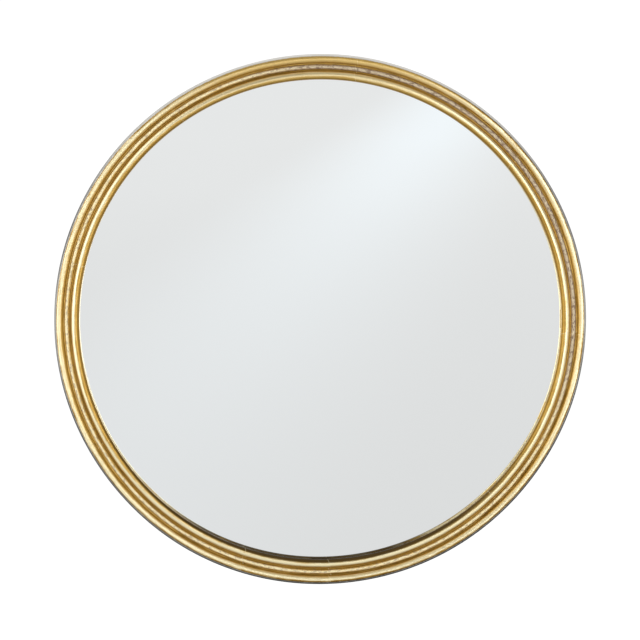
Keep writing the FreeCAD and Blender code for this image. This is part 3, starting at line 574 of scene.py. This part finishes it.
def lacquered_iron(settings, gilding):
    """Brown-black lacquer, brushed round the ring on mild steel.

    It gives brush streaks 2 mm wide in tone and gloss, an orange peel of 1.5 mm, a few spots of rust, and
    gilding that laps over the inner edge, where the glass shows it, darkened towards the bottom by painted
    shade.
    """
    edge = section_of("back_ring")[0]
    material, tree = new_material("brown_lacquer_on_iron")
    place = add_node(tree, "TexCoord", out="Object")
    x, y, z = add_node(tree, "SeparateXYZ", {0: place}, out=None).outputs
    flat = add_node(tree, "CombineXYZ", {0: x, 1: z})
    radius = add_node(tree, "VectorMath", {0: flat}, operation="LENGTH", out="Value")
    clock = add_node(tree, "Math", {0: x, 1: z}, operation="ARCTAN2")
    brushed = add_node(tree, "CombineXYZ", {0: radius, 1: y, 2: clock})
    brushed = add_node(
        tree, "VectorMath", {0: brushed, 1: (1 / (2 * MM), 1 / (2 * MM), 6.0)}, operation="MULTIPLY"
    )
    streak = add_node(tree, "TexNoise", {"Vector": brushed, "Scale": 1.0, "Detail": 3.0})
    peel = add_node(tree, "TexNoise", {"Vector": place, "Scale": 1 / (1.5 * MM), "Detail": 2.0})
    patch = add_node(tree, "TexNoise", {"Vector": place, "Scale": 1 / (25 * MM), "Detail": 5.0})
    thin = add_node(
        tree, "Mix", {0: streak, 6: settings.iron_colour, 7: linear("5A4636")}, data_type="RGBA", out=2
    )
    # Painted shade on the gilt lap towards the bottom, as on the inner reed
    low = add_node(
        tree, "MapRange", {"Value": z, "From Min": -0.86 * edge, "From Max": -0.95 * edge},
        interpolation_type="SMOOTHSTEP",
    )
    lap_with_bottom_shade = add_node(
        tree, "Mix", {0: low, 6: gilding.glaze_colour, 7: gilding.dark_glaze_and_shade_colour}, data_type="RGBA", out=2
    )
    rust = add_node(
        tree, "MapRange", {"Value": patch, "From Min": 0.66, "From Max": 0.74},
        interpolation_type="SMOOTHSTEP",
    )
    tone = add_node(tree, "Mix", {0: rust, 6: thin, 7: linear("6B4023")}, data_type="RGBA", out=2)
    gilt = add_node(
        tree, "MapRange", {"Value": radius, "From Min": edge + 1 * MM, "From Max": edge + 0.6 * MM}
    )
    tone = add_node(tree, "Mix", {0: gilt, 6: tone, 7: lap_with_bottom_shade}, data_type="RGBA", out=2)
    rough = add_node(tree, "Math", {0: streak, 1: 0.25, 2: 0.28}, operation="MULTIPLY_ADD")
    rough = add_node(tree, "Math", {0: rust, 1: 0.35, 2: rough}, operation="MULTIPLY_ADD")
    height = add_node(tree, "Math", {0: streak, 1: 0.8, 2: peel}, operation="MULTIPLY_ADD")
    relief = add_node(tree, "Bump", {"Strength": 1.0, "Distance": 0.06 * MM, "Height": height})
    shader = add_node(
        tree, "BsdfPrincipled", {"Base Color": tone, "Metallic": gilt, "Roughness": rough, "Normal": relief}
    )
    add_node(tree, "OutputMaterial", {"Surface": shader}, out=None)
    return material


def weld_bead(settings, gilding):
    """Weld in overlapping drops under the same lacquer: ripples of 2.5 mm along the seam, gilt inside."""
    material = lacquered_iron(settings, gilding)
    material.name = "brown_lacquer_on_weld"
    tree = material.node_tree
    place = add_node(tree, "TexCoord", out="Object")
    x, _, z = add_node(tree, "SeparateXYZ", {0: place}, out=None).outputs
    clock = add_node(tree, "Math", {0: x, 1: z}, operation="ARCTAN2")
    drops = 2 * math.pi * section_of("rebate_hoop")[1] / (2.5 * MM)
    uneven = add_node(tree, "TexNoise", {"Vector": place, "Scale": 1 / (4 * MM), "Detail": 2.0})
    uneven = add_node(tree, "Math", {0: uneven, 1: 5.0}, operation="MULTIPLY")
    ripple = add_node(tree, "Math", {0: clock, 1: drops, 2: uneven}, operation="MULTIPLY_ADD")
    ripple = add_node(tree, "Math", {0: ripple}, operation="SINE")
    shader = next(node for node in tree.nodes if node.type == "BSDF_PRINCIPLED")
    peel = shader.inputs["Normal"].links[0].from_socket
    relief = add_node(
        tree, "Bump", {"Strength": 1.0, "Distance": 0.15 * MM, "Height": ripple, "Normal": peel}
    )
    tree.links.new(relief, shader.inputs["Normal"])
    return material


def painted_board(settings):
    """Fibreboard, rolled with black emulsion: a stipple of 1.5 mm, cloudy sheen, pale scuffs and dust."""
    material, tree = new_material("black_paint_on_fibreboard")
    place = add_node(tree, "TexCoord", out="Object")
    stipple = add_node(tree, "TexNoise", {"Vector": place, "Scale": 1 / (1.5 * MM), "Detail": 3.0})
    cloud = add_node(
        tree, "TexNoise", {"Vector": place, "Scale": 1 / (90 * MM), "Detail": 6.0, "Roughness": 0.6}
    )
    lanes = add_node(tree, "VectorMath", {0: place, 1: (1.0, 1.0, 0.06)}, operation="MULTIPLY")
    roller = add_node(tree, "TexNoise", {"Vector": lanes, "Scale": 1 / (30 * MM), "Detail": 2.0})
    curl = add_node(tree, "Math", {0: cloud, 1: 4.0}, operation="MULTIPLY")
    slant = add_node(tree, "VectorRotate", {"Vector": place, "Angle": curl}, rotation_type="Y_AXIS")
    slant = add_node(tree, "VectorMath", {0: slant, 1: (1.0, 1.0, 0.05)}, operation="MULTIPLY")
    scuff = add_node(tree, "TexNoise", {"Vector": slant, "Scale": 1 / (3 * MM), "Detail": 2.0})
    scuff = add_node(tree, "MapRange", {"Value": scuff, "From Min": 0.7, "From Max": 0.8, "To Max": 0.35})
    film = add_node(tree, "Math", {0: roller, 1: 0.35, 2: cloud}, operation="MULTIPLY_ADD")
    film = add_node(tree, "MapRange", {"Value": film, "From Min": 0.5, "From Max": 0.95, "To Max": 0.4})
    tone = add_node(
        tree, "Mix", {0: film, 6: settings.board_colour, 7: linear("57534E")}, data_type="RGBA", out=2
    )
    tone = add_node(tree, "Mix", {0: scuff, 6: tone, 7: linear("8A8378")}, data_type="RGBA", out=2)
    rough = add_node(tree, "Math", {0: film, 1: 0.5, 2: 0.42}, operation="MULTIPLY_ADD")
    relief = add_node(tree, "Bump", {"Strength": 1.0, "Distance": 0.25 * MM, "Height": stipple})
    shader = add_node(tree, "BsdfPrincipled", {"Base Color": tone, "Roughness": rough, "Normal": relief})
    add_node(tree, "OutputMaterial", {"Surface": shader}, out=None)
    return material


def zinc_plating(settings):
    """Zinc, barrel-plated on stamped steel: cloudy silver, straw in places, with fine rubs."""
    material, tree = new_material("zinc_plated_steel")
    place = add_node(tree, "TexCoord", out="Object")
    cloud = add_node(tree, "TexNoise", {"Vector": place, "Scale": 1 / (6 * MM), "Detail": 4.0})
    rub = add_node(tree, "TexNoise", {"Vector": place, "Scale": 1 / (0.8 * MM), "Detail": 4.0})
    straw = add_node(tree, "MapRange", {"Value": cloud, "From Min": 0.45, "From Max": 0.7, "To Max": 0.6})
    tone = add_node(
        tree, "Mix", {0: straw, 6: settings.zinc_colour, 7: settings.chromate_colour}, data_type="RGBA",
        out=2,
    )
    rough = add_node(tree, "Math", {0: rub, 1: 0.3, 2: 0.2}, operation="MULTIPLY_ADD")
    relief = add_node(tree, "Bump", {"Strength": 1.0, "Distance": 0.03 * MM, "Height": rub})
    shader = add_node(
        tree, "BsdfPrincipled", {"Base Color": tone, "Metallic": 1.0, "Roughness": rough, "Normal": relief}
    )
    add_node(tree, "OutputMaterial", {"Surface": shader}, out=None)
    return material


def moulded_rubber(name, base):
    """Rubber from a spark-eroded mould: matt, with a grain of 0.8 mm and a pale bloom."""
    material, tree = new_material(name)
    place = add_node(tree, "TexCoord", out="Object")
    grain = add_node(tree, "TexNoise", {"Vector": place, "Scale": 1 / (0.8 * MM), "Detail": 2.0})
    bloom = add_node(tree, "TexNoise", {"Vector": place, "Scale": 1 / (7 * MM), "Detail": 4.0})
    pale = add_node(tree, "MapRange", {"Value": bloom, "From Min": 0.4, "From Max": 0.75, "To Max": 0.3})
    tone = add_node(tree, "Mix", {0: pale, 6: base, 7: linear("A5A29B")}, data_type="RGBA", out=2)
    rough = add_node(tree, "Math", {0: grain, 1: 0.2, 2: 0.6}, operation="MULTIPLY_ADD")
    relief = add_node(tree, "Bump", {"Strength": 1.0, "Distance": 0.08 * MM, "Height": grain})
    shader = add_node(
        tree, "BsdfPrincipled", {"Base Color": tone, "Roughness": rough, "Normal": relief, "IOR": 1.52}
    )
    add_node(tree, "OutputMaterial", {"Surface": shader}, out=None)
    return material


def cell_foam(settings):
    """Closed-cell polyethylene foam: white and matt, with cells of 1 mm."""
    material, tree = new_material("closed_cell_foam")
    place = add_node(tree, "TexCoord", out="Object")
    cells = add_node(tree, "TexVoronoi", {"Vector": place, "Scale": 1 / (1 * MM)}, out="Distance")
    tone = add_node(
        tree, "Mix", {0: cells, 6: settings.foam_colour, 7: linear("B9B8B1")}, data_type="RGBA", out=2
    )
    rough = add_node(tree, "Math", {0: cells, 1: 0.2, 2: 0.7}, operation="MULTIPLY_ADD")
    relief = add_node(tree, "Bump", {"Strength": 1.0, "Distance": 0.2 * MM, "Height": cells})
    shader = add_node(tree, "BsdfPrincipled", {"Base Color": tone, "Roughness": rough, "Normal": relief})
    add_node(tree, "OutputMaterial", {"Surface": shader}, out=None)
    return material


# Pieces

# For each reed: how far outside its crest the painted highlight lies, in degrees round the bar, at top and
# bottom and how much further at the sides; the flank that no painted groove shade darkens, 1 the outer and -1
# the inner; how strong the painted shade at the top is; how deep the leaf wrinkles; and whether it is rubbed
REEDS = {
    "outer": {"highlight_lean": (-14, 12), "open_side": 1, "top_shade": 0.85, "wrinkle": 0.5 * MM},
    "middle": {"highlight_lean": (-4, 5), "wrinkle": 0.9 * MM, "rubbed": True},
    "inner": {"highlight_lean": (-2, 15), "open_side": -1, "top_shade": 0.4, "wrinkle": 0.2 * MM},
}


class MIRROR_OT_reeds(bpy.types.Operator):
    """Rolls and gilds the three reeds"""

    bl_idname = "mirror.reeds"
    bl_label = "Reeds"

    def execute(self, context):
        settings = context.scene.mirror_gilding
        for which in REEDS:
            node = which + "_reed"
            ring, bar, depth = ring_of(node)
            deselect_all()
            bpy.ops.mesh.primitive_torus_add(
                major_radius=ring, minor_radius=bar, major_segments=STEPS_ROUND, minor_segments=STEPS_ACROSS,
                location=(0, depth, 0), rotation=(math.pi / 2, 0, 0),
            )
            reed = context.object
            reed.name = which + "_gilt_reed"
            bpy.ops.object.transform_apply(location=True, rotation=True, scale=True)
            roll_by_hand(reed, settings.waviness)
            bpy.ops.object.shade_smooth()
            finish = which + "_gold_leaf_on_bole"
            leaf = gold_leaf(finish, node, settings, **REEDS[which])
            finish_piece(reed, node, leaf)
        return {"FINISHED"}


class MIRROR_OT_seams(bpy.types.Operator):
    """Fills the valleys between the reeds with gilded solder"""

    bl_idname = "mirror.seams"
    bl_label = "Valley seams"

    def execute(self, context):
        settings = context.scene.mirror_gilding
        for which in ("outer", "inner"):
            side = 1 if which == "outer" else -1
            low = flank_point("middle_reed", settings.seam_low_rise, side)
            high = flank_point(which + "_reed", settings.seam_high_rise, -side)
            middle = ((low[0] + high[0]) / 2, (low[1] + high[1]) / 2 + SEAM_HOLLOW)
            seam = loft_rings(which + "_gilt_seam", [low, middle, high])
            body = seam.modifiers.new("body", "SOLIDIFY")
            body.thickness = SEAM_BODY
            body.offset = side
            roll_by_hand(seam, settings.waviness)
            bpy.ops.object.shade_smooth()
            leaf = gold_leaf(which + "_gold_leaf_in_valley", "middle_reed", settings)
            finish_piece(seam, "valley_seams", leaf)
        return {"FINISHED"}


class MIRROR_OT_glass(bpy.types.Operator):
    """Cuts, grinds and silvers the glass"""

    bl_idname = "mirror.glass"
    bl_label = "Mirror glass"

    def execute(self, context):
        settings = context.scene.mirror_back
        sheet = round_sheet("mirror_sheet", "mirror_glass", settings.arris)
        for material in (silvered_glass(settings), ground_glass(settings), backing_paint(settings)):
            sheet.data.materials.append(material)
        # Silver on the flat front, paint on the flat back, and the ground edge between them
        flat = 0.99
        for face in sheet.data.polygons:
            if face.normal.y > -flat:
                face.material_index = 2 if face.normal.y > flat else 1
        finish_piece(sheet, "mirror_glass", None)
        return {"FINISHED"}


class MIRROR_OT_ironwork(bpy.types.Operator):
    """Rolls and lacquers the back ring and hoop, with their lugs and welds"""

    bl_idname = "mirror.ironwork"
    bl_label = "Ironwork"

    def execute(self, context):
        settings = context.scene.mirror_back
        lacquer = lacquered_iron(settings, context.scene.mirror_gilding)
        weld = weld_bead(settings, context.scene.mirror_gilding)
        for node in ("back_ring", "rebate_hoop"):
            finish_piece(flat_ring(node + "_bar", node, settings.iron_ease), node, lacquer)
        lugs = eased_copy("lacquered_lugs", "button_lugs", settings.plate_ease)
        finish_piece(lugs, "button_lugs", lacquer)
        for node in ("reed_welds", "hoop_welds"):
            finish_piece(eased_copy(node + "_beads", node, settings.plate_ease), node, weld)
        return {"FINISHED"}


class MIRROR_OT_board(bpy.types.Operator):
    """Cuts and paints the backing board"""

    bl_idname = "mirror.board"
    bl_label = "Backing board"

    def execute(self, context):
        settings = context.scene.mirror_back
        board = round_sheet("painted_board", "back_board", settings.board_ease)
        finish_piece(board, "back_board", painted_board(settings))
        return {"FINISHED"}


class MIRROR_OT_fittings(bpy.types.Operator):
    """Eases and plates the turn buttons, hangers, washers and screws"""

    bl_idname = "mirror.fittings"
    bl_label = "Plated fittings"

    def execute(self, context):
        settings = context.scene.mirror_back
        zinc = zinc_plating(settings)
        riders = {"turn_button_%d" % count: "button_%d" % count for count in range(1, 7)}
        riders.update({"hanger_ring_" + side: "d_ring_" + side for side in ("left", "right")})
        still = ("pivot_washers", "pivot_screws", "hanger_strap_left", "hanger_strap_right", "hanger_screws")
        riders.update({node: "frame" for node in still})
        for node, body in riders.items():
            fitting = eased_copy("plated_" + node, node, settings.plate_ease)
            finish_piece(fitting, node, zinc, body)
        return {"FINISHED"}


class MIRROR_OT_soft_parts(bpy.types.Operator):
    """Moulds the bumpers and finishes the tape, blocks and foam"""

    bl_idname = "mirror.soft_parts"
    bl_label = "Rubber and foam"

    def execute(self, context):
        settings = context.scene.mirror_back
        bumpers = eased_copy("moulded_bumpers", "wall_bumpers", settings.rubber_ease)
        grey = moulded_rubber("grey_moulded_rubber", settings.bumper_colour)
        finish_piece(bumpers, "wall_bumpers", grey)
        black = moulded_rubber("black_glazing_rubber", settings.tape_colour)
        tape = flat_ring("glazing_ring", "glazing_tape", settings.plate_ease)
        finish_piece(tape, "glazing_tape", black)
        blocks = eased_copy("rubber_blocks", "setting_blocks", settings.plate_ease)
        finish_piece(blocks, "setting_blocks", black)
        foam = round_sheet("foam_disc", "foam_sheet", settings.plate_ease)
        finish_piece(foam, "foam_sheet", cell_foam(settings))
        return {"FINISHED"}


class MIRROR_OT_stage(bpy.types.Operator):
    """Sets the floor, the softboxes and the camera"""

    bl_idname = "mirror.stage"
    bl_label = "Stage"

    def execute(self, context):
        settings = context.scene.mirror_stage
        context.scene.view_settings.view_transform = "Standard"
        self.lay_floor(settings)
        self.light_world(context.scene)
        self.place_softbox("right_softbox", settings.right_power, azimuth=26, elevation=6, size=(1.3, 2.7))
        self.place_softbox("left_softbox", settings.left_power, azimuth=-48, elevation=11, size=(1.8, 3.7))
        self.place_camera(context.scene, settings)
        return {"FINISHED"}

    def lay_floor(self, settings):
        """A pale floor: white to the camera, and lit in front of the mirror for what reflects it."""
        deselect_all()
        bpy.ops.mesh.primitive_grid_add(
            x_subdivisions=8, y_subdivisions=8, size=200, location=(0, 0, -settings.floor_drop)
        )
        floor = bpy.context.object
        floor.name = "floor"
        material, tree = new_material("pale_floor")
        place = add_node(tree, "TexCoord", out="Object")
        back = add_node(tree, "SeparateXYZ", {0: place}, out=1)
        # Painted light that reflections see: dark close in front of the mirror, bright further out, brighter
        # behind it
        by_distance = {0.0: 0.06, -0.2: 0.25, -0.45: 0.8, -3.0: 0.79, -18.0: 0.868, -24.0: 0.877}
        forward = add_node(
            tree, "MapRange", {"Value": back, "From Min": max(by_distance), "From Max": min(by_distance)}
        )
        span = max(by_distance) - min(by_distance)
        stops = {
            (max(by_distance) - y) / span: (grey, grey, grey, 1.0) for y, grey in by_distance.items()
        }
        level = add_node(tree, "ValToRGB", {0: forward}, stops=stops)
        rear = add_node(
            tree, "MapRange", {"Value": back, "From Min": 1.0, "From Max": 3.0, "To Max": 0.65},
            interpolation_type="SMOOTHSTEP",
        )
        level = add_node(tree, "Math", {0: level, 1: rear}, operation="ADD")

        # A beam of light that lies aslant on the floor, from near left to far right, and grows with distance
        across_beam = (1.0, 0.106, 0.0)
        left_of_axis = 0.91
        half_width = 0.95
        aside = add_node(
            tree, "VectorMath", {0: place, 1: across_beam}, operation="DOT_PRODUCT", out="Value"
        )
        aside = add_node(tree, "Math", {0: aside, 1: left_of_axis}, operation="ADD")
        aside = add_node(tree, "Math", {0: aside}, operation="ABSOLUTE")
        beam = add_node(
            tree, "MapRange", {"Value": aside, "From Min": half_width, "From Max": 0.0},
            interpolation_type="SMOOTHSTEP",
        )
        gain = add_node(
            tree, "MapRange",
            {"Value": back, "From Min": -5.0, "From Max": -24.0, "To Min": 0.05, "To Max": 0.17},
        )
        gain = add_node(tree, "Math", {0: beam, 1: gain}, operation="MULTIPLY")
        level = add_node(tree, "Math", {0: level, 1: gain}, operation="ADD")
        cooled = add_node(tree, "Math", {0: gain, 1: 6.0}, operation="MULTIPLY")
        cool = add_node(
            tree, "Mix", {0: cooled, 6: linear("FFFFFF"), 7: linear("F8FCFF")}, data_type="RGBA", out=2
        )

        # How the floor looks to what reflects it, to other light and to the camera
        path = add_node(tree, "LightPath", out=None).outputs
        paper = add_node(tree, "BsdfDiffuse", {"Color": linear("E8E8E8")})
        shine = add_node(tree, "Emission", {"Color": cool, "Strength": level})
        lit = add_node(tree, "MixShader", {0: path["Is Glossy Ray"], 1: paper, 2: shine})
        shaded = add_node(tree, "BsdfDiffuse", {"Color": linear("9C9C9C")})
        white = add_node(tree, "Emission", {"Color": linear("FFFFFF"), "Strength": 0.78})
        seen = add_node(tree, "AddShader", {0: shaded, 1: white})
        both = add_node(tree, "MixShader", {0: path["Is Camera Ray"], 1: lit, 2: seen})
        add_node(tree, "OutputMaterial", {"Surface": both}, out=None)
        paint(floor, material)

    def light_world(self, scene):
        """Soft light from the front, dim above it and behind the mirror; white where the camera sees it."""
        world = bpy.data.worlds.new("studio")
        world.use_nodes = True
        tree = world.node_tree
        tree.nodes.clear()
        way = add_node(tree, "TexCoord", out="Generated")
        _, back, up = add_node(tree, "SeparateXYZ", {0: way}, out=None).outputs
        by_height = {0.0: 0.9, 0.08: 0.75, 0.32: 0.27, 0.5: 0.2, 0.8: 0.7}
        stops = {height: (grey, grey, grey, 1.0) for height, grey in by_height.items()}
        dim = add_node(tree, "ValToRGB", {0: up}, stops=stops)
        front = add_node(
            tree, "MapRange",
            {"Value": back, "From Min": 0.45, "From Max": -0.25, "To Min": 0.3, "To Max": 1.0},
            interpolation_type="SMOOTHSTEP",
        )
        behind = add_node(
            tree, "MapRange",
            {"Value": back, "From Min": -0.3, "From Max": 0.4, "To Min": 0.0, "To Max": 0.8},
            interpolation_type="SMOOTHSTEP",
        )
        high = add_node(
            tree, "MapRange", {"Value": up, "From Min": 0.2, "From Max": 0.6},
            interpolation_type="SMOOTHSTEP",
        )
        high = add_node(tree, "Math", {0: behind, 1: high}, operation="MULTIPLY")
        level = add_node(tree, "Math", {0: dim, 1: front, 2: high}, operation="MULTIPLY_ADD")
        path = add_node(tree, "LightPath", out=None).outputs
        even = add_node(tree, "Math", {0: path["Is Diffuse Ray"], 1: 0.8}, operation="MULTIPLY")
        level = add_node(tree, "Math", {0: level, 1: even}, operation="MAXIMUM")
        soft = add_node(tree, "Background", {"Color": linear("FFFFFF"), "Strength": level})
        white = add_node(tree, "Background", {"Color": linear("FFFFFF"), "Strength": 1.0})
        both = add_node(tree, "MixShader", {0: path["Is Camera Ray"], 1: soft, 2: white})
        add_node(tree, "OutputWorld", {"Surface": both}, out=None)
        scene.world = world

    def stand(self, data, spot, right, above, distance):
        """Stands a lamp or camera so far from a spot, right of and above the mirror's axis, facing it."""
        level = math.cos(above)
        way = Vector((math.sin(right) * level, -math.cos(right) * level, math.sin(above)))
        thing = bpy.data.objects.new(data.name, data)
        thing.location = spot + way * distance
        thing.rotation_euler = (-way).to_track_quat("-Z", "Y").to_euler()
        bpy.context.scene.collection.objects.link(thing)
        return thing

    def place_softbox(self, name, power, azimuth, elevation, size, distance=3.0):
        """A softbox so far from the mirror's centre, at these angles in degrees."""
        light = bpy.data.lights.new(name, "AREA")
        light.shape = "RECTANGLE"
        light.size, light.size_y = size
        light.energy = power
        centre = Vector((0.0, 0.0, 0.0))
        self.stand(light, centre, math.radians(azimuth), math.radians(elevation), distance)

    def place_camera(self, scene, settings):
        """Looks at the middle of the reeds' face from slightly above."""
        film = 36
        face = Vector((-0.001, CAD_BOX[0].y * 0.8, 0.001))
        camera = bpy.data.cameras.new("camera")
        camera.sensor_width = film
        camera.lens = film * settings.distance / settings.view_width
        camera.clip_end = 200
        scene.camera = self.stand(camera, face, settings.azimuth, settings.elevation, settings.distance)


SETTINGS = {"mirror_gilding": GildingSettings, "mirror_back": BackSettings, "mirror_stage": StageSettings}
OPERATORS = (
    MIRROR_OT_reeds, MIRROR_OT_seams, MIRROR_OT_glass, MIRROR_OT_ironwork, MIRROR_OT_board,
    MIRROR_OT_fittings, MIRROR_OT_soft_parts, MIRROR_OT_stage,
)


class MIRROR_PT_pieces(bpy.types.Panel):
    """Lists the mirror's pieces and settings"""

    bl_idname = "MIRROR_PT_pieces"
    bl_label = "Round mirror"
    bl_space_type = "VIEW_3D"
    bl_region_type = "UI"
    bl_category = "Mirror"

    def draw(self, context):
        for operator in OPERATORS:
            self.layout.operator(operator.bl_idname)
        for name, group in SETTINGS.items():
            box = self.layout.box()
            for setting in group.__annotations__:
                box.prop(getattr(context.scene, name), setting)


CLASSES = (*SETTINGS.values(), *OPERATORS, MIRROR_PT_pieces)


def register():
    for kind in CLASSES:
        bpy.utils.register_class(kind)
    for name, group in SETTINGS.items():
        setattr(bpy.types.Scene, name, bpy.props.PointerProperty(type=group))


def unregister():
    for name in SETTINGS:
        delattr(bpy.types.Scene, name)
    for kind in reversed(CLASSES):
        bpy.utils.unregister_class(kind)


def main():
    register()
    bpy.ops.mirror.reeds()
    bpy.ops.mirror.seams()
    bpy.ops.mirror.glass()
    bpy.ops.mirror.ironwork()
    bpy.ops.mirror.board()
    bpy.ops.mirror.fittings()
    bpy.ops.mirror.soft_parts()
    bpy.ops.mirror.stage()
    deselect_all()


if __name__ == "__main__":
    main()
